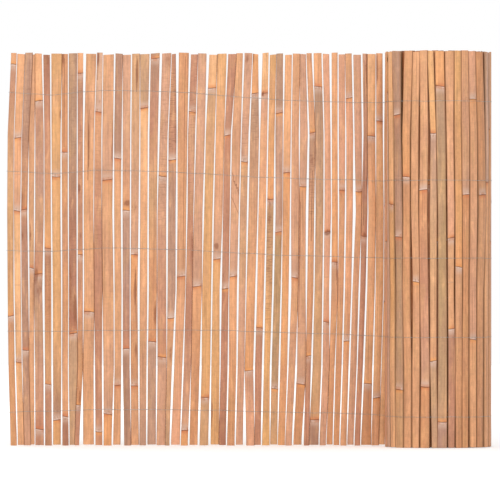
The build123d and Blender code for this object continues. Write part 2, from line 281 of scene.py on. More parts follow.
# Each flat slat from the left: pixel columns of its face's left and right edges at those rows
FLAT_COLUMNS = (
    (11.5, 16.2, 8.0, 13.4, 7.5, 13.1, 8.0, 13.2, 8.9, 14.3, 10.9, 16.4),
    (17.7, 24.7, 14.7, 21.2, 14.3, 19.9, 14.9, 20.5, 16.3, 21.4, 18.2, 23.9),
    (25.7, 32.9, 22.4, 28.5, 21.5, 26.9, 21.9, 28.0, 22.9, 28.9, 24.3, 30.5),
    (32.9, 34.9, 29.3, 34.2, 29.2, 33.5, 29.9, 33.5, 29.3, 33.7, 31.2, 34.2),
    (34.9, 41.4, 35.7, 43.3, 35.5, 43.4, 34.3, 42.0, 35.5, 43.2, 35.7, 43.5),
    (43.7, 49.5, 44.7, 50.2, 44.9, 50.5, 44.9, 51.0, 45.3, 51.0, 45.5, 51.5),
    (51.7, 61.7, 51.9, 60.2, 52.4, 60.1, 53.1, 60.7, 53.4, 60.9, 53.5, 60.4),
    (62.5, 67.5, 61.9, 67.4, 62.4, 67.4, 62.7, 67.9, 62.5, 67.5, 62.7, 68.3),
    (69.2, 76.7, 69.1, 76.4, 69.3, 76.2, 69.3, 76.3, 69.1, 77.5, 69.9, 74.2),
    (77.9, 82.9, 78.1, 82.5, 78.1, 82.3, 78.1, 82.5, 77.9, 82.5, 74.9, 78.9),
    (86.5, 95.9, 84.5, 93.5, 84.0, 92.9, 84.5, 94.2, 83.2, 93.3, 83.5, 93.5),
    (97.4, 102.3, 94.9, 101.0, 94.3, 101.2, 94.5, 102.0, 95.4, 101.5, 95.8, 102.0),
    (103.7, 113.5, 102.7, 112.9, 102.2, 112.0, 102.9, 113.2, 103.9, 113.5, 103.9, 111.2),
    (115.9, 122.4, 114.5, 121.2, 114.5, 120.5, 114.9, 121.2, 114.9, 120.9, 113.5, 120.2),
    (123.3, 130.5, 123.1, 129.9, 122.9, 129.5, 123.1, 129.4, 123.2, 129.3, 124.5, 130.5),
    (132.5, 139.5, 131.7, 139.0, 131.5, 138.2, 130.9, 137.2, 131.2, 137.7, 131.4, 138.5),
    (140.5, 149.2, 140.7, 147.4, 140.5, 147.1, 140.1, 146.9, 139.9, 146.1, 139.7, 145.7),
    (151.1, 159.3, 149.7, 157.5, 149.2, 156.5, 149.2, 156.5, 148.2, 155.7, 147.7, 155.5),
    (162.5, 170.9, 160.1, 167.2, 157.9, 165.9, 157.5, 165.9, 157.9, 166.2, 156.9, 164.9),
    (172.2, 175.5, 168.9, 176.2, 168.5, 175.3, 167.9, 175.2, 167.2, 171.5, 165.5, 169.2),
    (179.2, 188.5, 177.9, 187.0, 177.9, 185.9, 177.0, 185.0, 174.5, 181.9, 171.5, 179.5),
    (191.2, 197.5, 188.4, 194.8, 187.9, 193.0, 186.2, 192.2, 184.2, 190.5, 181.2, 187.5),
    (198.5, 206.2, 196.7, 204.5, 194.3, 202.2, 192.5, 201.5, 191.5, 199.2, 189.9, 197.2),
    (209.7, 216.9, 206.2, 214.4, 204.5, 212.2, 202.5, 210.9, 202.0, 209.9, 199.9, 207.9),
    (217.7, 226.2, 216.1, 223.9, 214.3, 222.2, 212.9, 219.2, 211.7, 219.2, 211.0, 218.5),
    (228.5, 236.2, 224.9, 230.5, 223.4, 229.5, 222.2, 228.2, 220.9, 227.2, 219.2, 225.5),
    (236.5, 242.5, 232.5, 240.5, 231.0, 238.5, 229.5, 236.5, 229.3, 235.9, 227.5, 234.2),
    (244.9, 251.9, 242.0, 248.2, 240.2, 246.5, 239.2, 245.2, 237.9, 243.9, 236.2, 242.5),
    (253.2, 257.9, 250.5, 258.7, 248.9, 257.2, 246.9, 254.9, 244.9, 252.9, 246.5, 254.2),
    (262.9, 268.2, 260.5, 266.9, 258.9, 265.5, 257.5, 263.5, 255.3, 261.5, 254.9, 260.5),
    (270.2, 275.9, 268.7, 274.2, 267.5, 273.2, 265.9, 271.9, 264.2, 269.5, 262.5, 269.2),
    (276.9, 282.7, 275.7, 282.5, 275.9, 282.0, 274.2, 280.3, 271.9, 278.2, 270.5, 276.9),
    (285.5, 291.5, 283.9, 290.5, 283.1, 289.5, 282.3, 288.3, 280.6, 286.9, 278.2, 284.5),
    (293.2, 299.9, 292.0, 298.4, 291.5, 298.9, 291.7, 297.9, 288.9, 294.9, 285.7, 291.5),
    (300.2, 305.5, 300.4, 307.5, 299.5, 305.5, 298.2, 305.3, 297.5, 305.9, 293.9, 301.2),
    (306.9, 311.4, 309.9, 315.2, 308.7, 313.9, 307.5, 313.1, 306.2, 310.5, 304.1, 308.9),
    (314.0, 321.2, 315.5, 323.2, 315.9, 323.1, 314.9, 322.0, 312.9, 320.9, 309.2, 318.2),
    (323.2, 328.9, 324.9, 330.2, 324.9, 330.7, 324.0, 328.7, 322.9, 329.2, 319.9, 325.5),
    (332.0, 337.2, 332.2, 337.2, 332.3, 337.5, 331.7, 337.5, 329.5, 334.2, 326.9, 332.2),
    (339.0, 344.5, 339.2, 344.9, 339.5, 344.5, 338.2, 343.2, 335.9, 341.2, 333.9, 338.9),
    (345.5, 351.3, 346.7, 352.9, 346.7, 352.5, 345.3, 350.9, 343.2, 348.2, 340.7, 346.2),
    (353.7, 360.5, 354.9, 361.5, 356.2, 361.5, 352.9, 358.2, 350.5, 356.2, 347.7, 353.2),
    (362.9, 366.9, 363.9, 367.2, 361.9, 367.2, 360.5, 365.2, 357.9, 362.5, 354.9, 359.9),
    (367.5, 375.3, 367.5, 374.9, 368.8, 375.5, 367.6, 374.4, 364.9, 371.9, 361.5, 370.7),
    (376.5, 382.2, 376.6, 382.5, 376.3, 383.4, 375.9, 383.0, 374.1, 380.6, 371.8, 378.8),
    (385.5, 392.5, 384.5, 391.5, 384.6, 391.5, 384.3, 390.3, 381.9, 387.9, 379.3, 384.4),
)

# Drying cracks and scratches: slat number, place across it from -1 to 1 at its lower and at its
# upper end, and the heights of these ends
CRACKS = (
    (11, -0.20, -0.10, 0.675, 0.855), (16, 0.25, 0.25, 0.900, 0.992),
    (16, 0.55, 0.45, 0.300, 0.447), (21, 0.40, 0.30, 0.450, 0.990),
    (8, -0.20, -0.15, 0.760, 0.985), (12, -0.55, -0.55, 0.930, 0.995),
    (36, 0.10, 0.15, 0.520, 0.700), (3, 0.80, 0.90, 0.520, 0.640),
    (27, 1.00, -0.90, 0.648, 0.696), (27, 1.00, -0.90, 0.638, 0.684),
    (27, 1.00, -0.80, 0.588, 0.632), (35, -0.70, -0.60, 0.300, 0.620),
    (43, -0.30, -0.20, 0.560, 0.980),
)

# Brown marks: slat number, place across it, height, half width and half height in millimetres,
# and strength
MARKS = (
    (3, -0.8, 0.628, 4.8, 31.0, 0.8), (3, -0.7, 0.535, 3.6, 22.0, 0.6),
    (4, -0.5, 0.540, 3.6, 31.0, 0.6), (5, -0.6, 0.432, 7.2, 22.0, 0.9),
    (5, 0.2, 0.395, 10.8, 17.0, 0.5), (6, 0.2, 0.985, 7.2, 31.0, 0.5),
    (7, 1.0, 0.842, 6.0, 14.0, 0.8), (7, 0.0, 0.125, 10.8, 42.0, 0.45),
    (8, -0.6, 0.985, 4.2, 20.0, 0.9), (9, 0.6, 0.345, 7.2, 48.0, 0.7),
    (9, -0.6, 0.400, 3.6, 98.0, 0.6), (10, -0.4, 0.655, 4.2, 15.0, 0.8),
    (10, 0.0, 0.535, 4.2, 11.0, 0.7), (10, 0.5, 0.120, 4.2, 25.0, 0.7),
    (11, -0.1, 0.760, 3.1, 77.0, 0.9), (11, 0.1, 0.060, 3.6, 70.0, 0.35),
    (12, -0.7, 0.985, 4.2, 20.0, 1.0), (13, 0.95, 0.765, 4.2, 59.0, 0.9),
    (15, 0.3, 0.617, 9.6, 8.0, 1.0), (16, 0.30, 0.945, 3.8, 45.0, 1.0),
    (16, 0.35, 0.400, 3.8, 50.0, 1.0), (16, 0.40, 0.245, 3.6, 22.0, 0.8),
    (18, 0.80, 0.335, 6.0, 36.0, 0.8), (18, 0.2, 0.180, 6.0, 28.0, 0.4),
    (19, 0.3, 0.980, 9.6, 20.0, 0.5), (20, 0.3, 0.235, 4.8, 36.0, 0.5),
    (22, 0.6, 0.500, 4.8, 84.0, 0.5), (25, -0.2, 0.508, 7.2, 8.0, 0.9),
    (25, -0.9, 0.085, 4.8, 36.0, 0.9), (26, -0.6, 0.420, 3.6, 42.0, 0.5),
    (28, -0.3, 0.985, 4.2, 17.0, 0.8), (28, -0.7, 0.745, 6.0, 14.0, 0.5),
    (29, -0.9, 0.985, 4.8, 22.0, 0.8), (30, -0.6, 0.895, 3.6, 7.0, 1.0),
    (31, -0.3, 0.590, 7.2, 42.0, 0.5), (35, -0.8, 0.500, 4.2, 126.0, 0.5),
    (36, -0.2, 0.725, 6.0, 13.0, 0.6), (39, 0.7, 0.440, 3.6, 42.0, 0.6),
    (40, -0.3, 0.630, 4.8, 20.0, 0.4), (43, 0.9, 0.960, 4.2, 63.0, 0.9),
    (43, 1.0, 0.670, 4.2, 28.0, 0.9), (45, -0.9, 0.960, 4.8, 42.0, 0.8),
    (45, -0.9, 0.100, 3.0, 14.0, 0.5), (46, 0.4, 0.960, 4.8, 42.0, 0.5),
    (38, 0.0, 0.541, 8.0, 7.0, 1.0), (43, 0.2, 0.536, 7.0, 8.0, 0.8),
    (16, 0.0, 0.605, 8.0, 24.0, 0.5), (29, -0.1, 0.892, 9.0, 8.0, 0.42),
    (12, 0.1, 0.875, 4.0, 8.0, 0.45),
)

# Stretches with cross lines: slat number, heights of the two ends, and strength
CROSS_LINED = (
    (20, 0.745, 0.992, 1.0), (29, 0.760, 0.890, 0.55), (31, 0.300, 0.600, 0.65),
    (36, 0.560, 0.760, 0.65), (3, 0.640, 0.990, 0.40), (9, 0.400, 0.990, 0.35),
    (10, 0.600, 0.940, 0.45), (22, 0.600, 0.990, 0.50), (28, 0.640, 0.900, 0.35),
    (6, 0.300, 0.480, 0.35), (12, 0.500, 0.840, 0.35), (19, 0.550, 0.980, 0.40),
)

# The slats of the roll that the photograph shows, by their place round the outer turn: pixel
# columns of their left and right edges at the same rows (0 for one that is out of sight), knot
# heights, tones and the side of the bloom
SEEN_SLATS = {
    11: ((489.6, 0, 490.4, 0, 490.2, 0, 489.9, 0, 489.9, 0, 489.9, 0), (0.801,), "h|l", 1),
    12: ((486.3, 488.7, 487.2, 489.6, 487.1, 489.5, 485.6, 489.1, 485.5, 489.0, 485.4, 489.0),
         (0.668,), "h|l", 1),
    13: ((476.2, 483.5, 478.7, 485.5, 479.9, 486.9, 477.9, 483.9, 477.9, 483.5, 477.9, 483.2),
         (0.636,), "na|n", 1),
    14: ((468.5, 475.5, 470.5, 477.5, 470.5, 477.9, 470.0, 476.5, 469.9, 476.5, 470.5, 476.5),
         (0.272, 0.876), "h|ka|k", 1),
    15: ((461.5, 468.2, 462.0, 469.3, 462.9, 469.2, 463.2, 468.5, 462.5, 468.5, 462.5, 468.2),
         (0.636,), "nn|ra", 1),
    16: ((454.5, 460.9, 454.7, 460.9, 455.5, 461.9, 455.5, 461.9, 455.5, 461.5, 455.9, 461.5),
         (0.455,), "na|us", -1),
    17: ((444.9, 453.5, 446.5, 453.2, 447.5, 454.2, 447.9, 453.5, 448.4, 454.9, 448.2, 454.2),
         (0.300, 0.528), "b|a|ka", -1),
    18: ((434.7, 443.5, 436.2, 445.2, 437.7, 445.5, 437.9, 446.2, 437.9, 446.5, 437.2, 446.5),
         (0.066, 0.909), "m|veeo|u", -1),
    19: ((427.2, 432.9, 430.2, 435.5, 429.5, 436.2, 429.7, 435.9, 429.9, 435.9, 431.5, 436.9),
         (0.219, 0.791), "v|atc|s", -1),
    20: ((419.5, 426.5, 419.9, 427.5, 418.7, 426.5, 419.5, 427.5, 420.7, 428.9, 419.9, 428.5),
         (0.154, 0.648), "n|rbn|a", 1),
    21: ((412.5, 419.2, 410.7, 417.5, 410.7, 417.5, 412.7, 418.9, 411.9, 418.9, 411.9, 418.2),
         (0.417,), "aa|a", 1),
    22: ((403.9, 411.9, 401.7, 409.2, 402.9, 409.2, 402.2, 409.3, 403.7, 410.5, 403.7, 410.5),
         (0.681,), "an|ua", -1),
    23: ((391.9, 399.5, 393.9, 399.9, 394.5, 401.5, 395.9, 401.5, 395.5, 402.5, 395.5, 402.5),
         (0.146, 0.530, 0.837), "t|vo|cq|c", 1),
    # Slats 24 and 25, where the roll meets the flat mat, have lighter tones than their own,
    # painted light that makes up for the shade there
    24: ((387.9, 391.9, 388.4, 392.9, 389.0, 393.2, 390.2, 394.2, 389.9, 394.2, 390.5, 395.2),
         (0.613,), "ppss|pp", -1),
    25: ((0, 387.2, 0, 387.5, 0, 388.2, 0, 389.2, 0, 389.0, 0, 389.6), (0.895,), "llll|p", -1),
}
OTHER_LOOKS = ("a|rk|n", "b|bb", "k|au", "c|rr|h", "n|na", "s|ts|v", "r|bb", "u|uk|a",
               "v|oo", "a|aa|r", "k|ku", "d|bn|b")
OTHER_KNOTS = ((0.31, 0.86), (0.47,), (0.62,), (0.13, 0.79), (0.55,), (0.24, 0.72), (0.40,),
               (0.09, 0.66), (0.68,), (0.19, 0.83), (0.52,), (0.28, 0.91))


def linear(rgb):
    """Scene-linear colour of an 8-bit sRGB one: a power curve with a straight foot."""
    c = np.asarray(rgb, float) / 255.0
    return np.where(c <= 0.04045, c / 12.92, ((c + 0.055) / 1.055) ** 2.4)


def paint(rgb):
    """Node colour of an 8-bit sRGB one."""
    return (*linear(rgb), 1.0)


def tone_property(name, rgb):
    """A colour property for one tone of the skin."""
    return FloatVectorProperty(name=name, description=f"{name}, a tone of the bamboo's skin",
                               subtype="COLOR", size=3, min=0.0, max=1.0,
                               default=tuple(linear(rgb)))


def length_property(name, description, default):
    """A property for a small length."""
    return FloatProperty(name=name, description=description, default=default, min=0.0,
                         subtype="DISTANCE", unit="LENGTH")


def power_property(side, default):
    """A property for the power of a soft lamp."""
    return FloatProperty(name=f"Lamp at the {side}", default=default, min=0.0, unit="POWER",
                         description=f"Power of the soft lamp at the {side}")


class BambooTones(bpy.types.PropertyGroup):
    """Tones of the bamboo's skin."""

    __annotations__ = {f"tone_{letter}": tone_property(*tone) for letter, tone in TONES.items()}


class BambooSizes(bpy.types.PropertyGroup):
    """Sizes of the slats and wires."""

    crown: length_property("Crown", "How far a slat's front falls to its edges", 1.3 * MM)
    swell: length_property("Knot swell", "How far a knot stands proud", 0.8 * MM)
    groove: length_property("Scar depth", "Depth of the scar line of a knot", 0.4 * MM)
    waver: length_property("Edge waver", "How far the split edges wander", 0.35 * MM)
    wire: length_property("Wire diameter", "Diameter of a binding wire", 0.9 * MM)
    sag: length_property("Wire sag", "How far a wire wanders up and down", 2.4 * MM)
    seed: IntProperty(name="Seed", description="Start of the random draws", default=11, min=0)


class StudioSettings(bpy.types.PropertyGroup):
    """Light of the studio."""

    ambient: FloatProperty(name="Ambient", description="Strength of the surrounding light",
                           default=0.62, min=0.0)
    key: power_property("front left", 73.0)
    fill: power_property("front right", 66.0)
    back: power_property("back", 45.0)


# Shader


class Value:
    """A node's output, on which arithmetic adds Math nodes."""

    def __init__(self, finish, socket):
        self.finish = finish
        self.socket = socket

    def math(self, operation, *others):
        """Math node of this value and others, in order."""
        return self.finish.math(operation, self, *others)

    def __add__(self, other):
        return self.math("ADD", other)

    def __sub__(self, other):
        return self.math("SUBTRACT", other)

    def __rsub__(self, other):
        return self.finish.math("SUBTRACT", other, self)

    def __mul__(self, other):
        return self.math("MULTIPLY", other)

    __radd__ = __add__
    __rmul__ = __mul__


class Nodes:
    """The nodes of a material or of the world, being built."""

    def __init__(self, owner, output):
        owner.use_nodes = True
        self.owner = owner
        self.tree = owner.node_tree
        self.tree.nodes.clear()
        self.surface = self.tree.nodes.new(output).inputs["Surface"]

    def node(self, kind, settings=None, sockets=None, output=0):
        """Adds a node, sets its settings, then the values or links of its sockets."""
        node = self.tree.nodes.new(kind)
        for key, value in (settings or {}).items():
            setattr(node, key, value)
        for key, value in (sockets or {}).items():
            if isinstance(value, Value):
                self.tree.links.new(value.socket, node.inputs[key])
            else:
                node.inputs[key].default_value = value
        return Value(self, node.outputs[output])

    def math(self, operation, *values):
        """Math node of values and numbers, in order."""
        return self.node("ShaderNodeMath", {"operation": operation}, dict(enumerate(values)))

    def close(self, shader):
        """Links the shader to the output and returns the material or the world."""
        self.tree.links.new(shader.socket, self.surface)
        return self.owner


class Finish(Nodes):
    """A material being built from the piece's attributes and noise on its own coordinates."""

    def __init__(self, name):
        super().__init__(bpy.data.materials.new(name), "ShaderNodeOutputMaterial")
        self.place = self.node("ShaderNodeTexCoord", output="Object")

    def attribute(self, name, output="Fac"):
        """A value of the mesh's points."""
        return self.node("ShaderNodeAttribute", {"attribute_name": name}, output=output)

    def rise(self, value, start, end):
        """Smooth step from 0 at the start to 1 at the end, which may be the lower one."""
        return self.node("ShaderNodeMapRange", {"interpolation_type": "SMOOTHSTEP"},
                         {0: value, 1: start, 2: end, 3: 0.0, 4: 1.0})

    def mix(self, factor, first, second):
        """Mixes two colours."""
        settings = {"data_type": "RGBA", "clamp_factor": True}
        return self.node("ShaderNodeMix", settings, {0: factor, 6: first, 7: second}, output=2)

    def scaled(self, colour, factor):
        """Colour times a number."""
        return self.node("ShaderNodeVectorMath", {"operation": "SCALE"},
                         {0: colour, "Scale": factor})

    def grain(self, shift, across, up, detail=2.0, roughness=0.5):
        """Noise with so many cells a metre across and up the slats, shifted by a value."""
        offset = self.node("ShaderNodeCombineXYZ", sockets={0: shift, 1: shift * 0.7, 2: shift})
        stretched = self.node("ShaderNodeVectorMath", {"operation": "MULTIPLY_ADD"},
                              {0: self.place, 1: (across, across, up), 2: offset})
        return self.node("ShaderNodeTexNoise", sockets={
            "Vector": stretched, "Scale": 1.0, "Detail": detail, "Roughness": roughness})


class BambooFinish(Finish):
    """Split bamboo: skin where the mesh says, and paler fibrous wood on split faces and ends."""

    def __init__(self):
        super().__init__("split_bamboo")
        for name in ("seed", "knot", "inner", "edge", "crack", "shade", "mark", "lined"):
            setattr(self, name, self.attribute(name))
        self.tone = self.attribute("tone", "Color")
        for name, (shift, *cells) in GRAINS.items():
            setattr(self, name, self.grain(self.seed + shift, *cells))

    def coats(self, colour, **masks):
        """Lays coats over a colour one after another, each where its mask is 1."""
        for name, mask in masks.items():
            colour = self.mix(mask, colour, paint(COATS[name]))
        return colour

    def zone(self, start, full):
        """Smooth step up between two distances from a knot, in millimetres. They are positive on
        its stained side and negative on its side with the bloom."""
        return self.rise(self.knot, start * MM, full * MM)

    def near(self, value, full, end):
        """1 up to one distance from a line on both sides, 0 past another, in millimetres."""
        return self.rise(value.math("ABSOLUTE"), end * MM, full * MM)

    def ground(self):
        """The tone from the mesh under clouds, ochre and pale patches, times the light of the
        grain, and with dark bands along the slat."""
        light = 1.0
        for name, share in LIGHTENING.items():
            light = light + share * (getattr(self, name) - 0.5)
        skin = self.coats(self.tone, cloud=self.rise(self.cloud, 0.48, 0.70) * 0.32,
                          ochre=self.rise(self.ochre, 0.50, 0.68) * 0.26,
                          pale_patch=self.rise(self.blotch, 0.54, 0.72) * 0.30)
        return self.coats(self.scaled(skin, light),
                          dark_band=self.rise(self.band, 0.58, 0.70) * 0.34)

    def stained(self, skin):
        """A stain on one side of a knot, strong beside its scar and faint for some way on."""
        stain = self.zone(-0.2, 0.2) * (self.zone(12.0, 2.5) * (0.14 + 0.85 * self.mottle)
                                        + 0.16 * self.zone(70.0, 4.0))
        colour = self.mix(self.rise(self.cloud, 0.42, 0.58), paint(COATS["stain"]),
                          paint(COATS["light_stain"]))
        return self.mix(stain, skin, colour)

    def bloomed(self, skin):
        """Bloom on the other side of a knot, pale and patchy, then a long greyed fade, with a
        painted highlight along the knot's ridge and dirt in it. Returns the skin and the bloom's
        strength."""
        side = self.zone(0.1, -0.3)
        bloom = side * self.zone(-24.0, -3.0) * (1.1 * self.blotch + 0.30)
        # Painted highlight: a pale line on the ridge of a knot, where light would catch it
        shine = self.zone(-4.6, -2.8) * self.zone(-0.9, -1.8)
        dirt = side * self.zone(-12.0, -5.0) * self.rise(self.mottle, 0.54, 0.66)
        skin = self.coats(skin, bloom=bloom, far_bloom=side * self.zone(-100.0, -16.0) * 0.26,
                          shine=shine * self.rise(self.mottle, 0.30, 0.62) * 0.9,
                          dirt=dirt * 0.5)
        return skin, bloom

    def scarred(self, skin):
        """A brown band across about half of the knots, then the scar line of each."""
        band = self.zone(-11.0, -1.5) * self.zone(6.0, 1.0) * self.rise(self.ochre, 0.45, 0.56)
        scar = self.near(self.knot, 0.5, 1.4) * (0.25 + 0.9 * self.blotch)
        return self.coats(skin, knot_band=band * 0.62, scar=scar)

    def flawed(self, skin, lines, split):
        """Specks, cross lines, brown marks and cracks, and darker edges."""
        specks = self.rise(self.speck, 0.715, 0.78) * self.rise(self.cloud, 0.45, 0.58)
        marks = self.rise(self.mark + 1.0 * (self.mottle - 0.5) + 0.9 * (self.streak - 0.5),
                          0.20, 0.70)
        rim = self.rise(self.edge, 0.74, 1.0) * (0.10 + 0.75 * self.streak)
        return self.coats(skin, speck=specks * 0.6, cross_line=lines * 0.7,
                          brown_mark=marks * 0.66, crack=split * 0.7, rim=rim)

    def wood(self):
        """Inner wood: pith with fibres, half tinted by the tone, and brown at a knot."""
        pith = self.scaled(tuple(linear(PITH)), 0.52 + 0.30 * self.streak + 0.28 * self.fibre
                           + 0.40 * self.blotch)
        return self.coats(self.mix(0.55, pith, self.tone),
                          wood_knot=0.5 * self.near(self.knot, 1.5, 4.5))

    def build(self):
        """Puts the layers together, paints shade on the edges that touch and on the roll's edges,
        and closes the material.
        """
        lines = self.lined * self.rise(self.cross, 0.52, 0.64)
        split = self.near(self.crack + 0.5 * MM * (self.fibre - 0.5), 0.25, 1.1)
        skin, bloom = self.bloomed(self.stained(self.ground()))
        skin = self.flawed(self.scarred(skin), lines, split)
        # Painted shade in the seams between slats that touch, and at the roll's edges
        touching = self.shade * self.rise(self.edge, 0.84, 0.99) * 0.70
        colour = self.coats(self.mix(self.inner, skin, self.wood()), touching_edge=touching)
        roughness = ((0.42 + 0.16 * (self.streak - 0.5) + 0.20 * bloom) * (1.0 - self.inner)
                     + 0.78 * self.inner)
        height = (0.5 * self.streak + 0.35 * self.fibre + 0.10 * self.cross - 0.6 * split
                  - 0.4 * lines + self.inner * (0.8 * self.fibre + 0.5 * self.streak))
        normal = self.node("ShaderNodeBump", sockets={
            "Strength": 0.35, "Distance": 0.5 * MM, "Height": height})
        return self.close(self.node("ShaderNodeBsdfPrincipled", sockets={
            "Base Color": colour, "Roughness": roughness, "Normal": normal,
            "Specular IOR Level": 0.2}))


def bamboo():
    """The slats' material, made at its first use."""
    return bpy.data.materials.get("split_bamboo") or BambooFinish().build()


def galvanised_wire():
    """Dull galvanised wire: grey metal with darker, rougher patches."""
    f = Finish("galvanised_wire")
    patch = f.grain(0.0, 160.0, 160.0, 3.0, 0.6)
    colour = f.mix(f.rise(patch, 0.4, 0.65), paint((150, 146, 140)), paint((196, 192, 186)))
    return f.close(f.node("ShaderNodeBsdfPrincipled", sockets={
        "Base Color": colour, "Roughness": 0.42 + 0.25 * patch, "Metallic": 0.8}))


def studio_white():
    """White floor that takes the object's shadow, and glows to the camera, more so far off, so
    that it shows as pure white elsewhere."""
    f = Finish("studio_floor")
    colour = f.mix(f.grain(0.0, 3.0, 3.0), paint((243, 243, 242)), paint((246, 246, 246)))
    diffuse = f.node("ShaderNodeBsdfPrincipled", sockets={
        "Base Color": colour, "Roughness": 0.9, "Specular IOR Level": 0.1,
        "Emission Color": WHITE, "Emission Strength": 0.0})
    away = f.node("ShaderNodeVectorMath", {"operation": "LENGTH"}, {0: f.place}, output=1)
    glow = f.node("ShaderNodeEmission", sockets={
        "Strength": GLOW + GLOW_RISE * f.rise(away, *GLOW_RADII)})
    lit = f.node("ShaderNodeAddShader", sockets={0: diffuse, 1: glow})
    seen = f.node("ShaderNodeLightPath", output="Is Camera Ray")
    return f.close(f.node("ShaderNodeMixShader", sockets={0: seen, 1: diffuse, 2: lit}))


def white_world(ambient):
    """White surroundings, at full strength to the camera, in reflections and through glass."""
    w = Nodes(bpy.data.worlds.new("surroundings"), "ShaderNodeOutputWorld")
    camera, glossy, through = (w.node("ShaderNodeLightPath", output=f"Is {ray} Ray")
                               for ray in ("Camera", "Glossy", "Transmission"))
    seen = camera.math("MAXIMUM", glossy).math("MAXIMUM", through)
    strength = w.node("ShaderNodeMapRange", sockets={
        "Value": seen, "To Min": ambient, "To Max": 1.0})
    return w.close(w.node("ShaderNodeBackground", sockets={
        "Color": WHITE, "Strength": strength}))


# Meshes


def ring_faces(rows, count, turned):
    """Quads between rows of rings and the rings that close both ends. They face outwards where
    the rings run anticlockwise going up the rows, or else turned the other way."""
    order = np.arange(count)
    after = np.roll(order, -1)
    low = np.arange(rows - 1)[:, None] * count
    quads = np.stack([low + order, low + after, low + count + after, low + count + order], 2)
    last = (rows - 1) * count
    if turned:
        return quads[:, :, ::-1].reshape(-1, 4), (order, last + order[::-1])
    return quads.reshape(-1, 4), (order[::-1], last + order)


def join_surfaces(surfaces):
    """Puts several grids into one, with their faces renumbered."""
    points, faces, values = [], [], {}
    total = 0
    for grid, quads, caps, extra in surfaces:
        points.append(grid)
        faces += (quads + total).tolist()
        faces += [(cap + total).tolist() for cap in caps]
        for name, value in extra.items():
            values.setdefault(name, []).append(value)
        total += len(grid)
    return np.concatenate(points), faces, {n: np.concatenate(v) for n, v in values.items()}


def mesh_object(name, points, faces, material):
    """An object in the scene with a mesh of those points and faces."""
    mesh = bpy.data.meshes.new(name)
    mesh.from_pydata(points.tolist(), [], faces)
    mesh.materials.append(material)
    made = bpy.data.objects.new(name, mesh)
    bpy.context.scene.collection.objects.link(made)
    return made


def make_piece(name, surfaces, material):
    """A smooth piece of one or more grids, with an attribute for each of their values."""
    points, faces, values = join_surfaces(surfaces)
    piece = mesh_object(name, points, faces, material)
    mesh = piece.data
    for key, value in values.items():
        if value.ndim == 2:
            layer = mesh.attributes.new(key, "FLOAT_COLOR", "POINT")
            rgba = np.concatenate([value, np.ones((len(value), 1))], 1)
            layer.data.foreach_set("color", rgba.ravel())
        else:
            layer = mesh.attributes.new(key, "FLOAT", "POINT")
            layer.data.foreach_set("value", value.ravel())
    mesh.update()
    mesh.shade_smooth()
    mesh.set_sharp_from_angle(angle=SHARP_ANGLE)
    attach(piece, "root")
    return piece


def solid_points(node):
    """Points of a node's solid."""
    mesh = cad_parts[node].data
    points = np.zeros(len(mesh.vertices) * 3)
    mesh.vertices.foreach_get("co", points)
    return points.reshape(-1, 3)


# Slats


def waver(rng, heights, waves=5, longest=0.6):
    """Smooth wander along a slat or wire: half plus a sum of sines of shorter and shorter
    waves."""
    total = np.zeros_like(heights)
    for k in range(waves):
        length = longest / WAVE_SHRINK ** k
        total += np.sin(2 * np.pi * (heights / length + rng.random())) / WAVE_FADE ** k
    return 0.5 + 0.5 * total / WAVE_SUM


def slat_rows(foot, head, knots, step, extra=()):
    """Heights of a slat's rows: even steps, closer ones beside each knot, and extra ones."""
    ends = np.array(END_ROWS) * MM
    rows = [np.linspace(foot, head, int((head - foot) / step) + 1), foot + ends, head - ends]
    rows += [knot + np.array(KNOT_ROWS) * MM for knot in knots]
    heights = np.unique(np.round(np.concatenate(rows + [np.array(extra, float)]), 5))
    return heights[(heights >= foot) & (heights <= head)]


def nearest_knot(heights, knots, bloom):
    """Distance from the nearest knot, positive on its stained side and negative on its side
    with the bloom."""
    gaps = heights[:, None] - np.array(knots)[None, :]
    return -bloom * gaps[np.arange(len(heights)), np.abs(gaps).argmin(1)]


def internode_tones(heights, knots, tones, colours):
    """Tone at each height: between two knots the letters follow each other at even steps."""
    bounds = [heights[0], *knots, heights[-1]]
    result = np.zeros((len(heights), 3))
    for low, high, letters in zip(bounds, bounds[1:], tones.split("|")):
        inside = (heights >= low) & (heights <= high)
        places = np.linspace(low, high, len(letters)) if len(letters) > 1 else [low]
        for channel in range(3):
            levels = [colours[letter][channel] for letter in letters]
            result[inside, channel] = np.interp(heights[inside], places, levels)
    return result


def section_ring(front, back):
    """Points round a slat's section, anticlockwise: their places across it from -1 to 1, which
    lie closer at the edges of the skin, and the part of the section that each is on."""
    turn = np.linspace(1, -1, front) * np.pi / 2 * SKIN_SPREAD
    across = np.concatenate([np.sin(turn) * SKIN_HALF, [-1.0, -1.0],
                             np.linspace(-BACK_HALF, BACK_HALF, back), [1.0, 1.0]])
    part = np.repeat([SKIN, CORNER, HEEL, BACK, HEEL, CORNER], [front, 1, 1, back, 1, 1])
    return across, part


def with_caps(rows):
    """Rows of values with the first and the last one once more, for the cut ends."""
    return np.concatenate([rows[:1], rows, rows[-1:]])


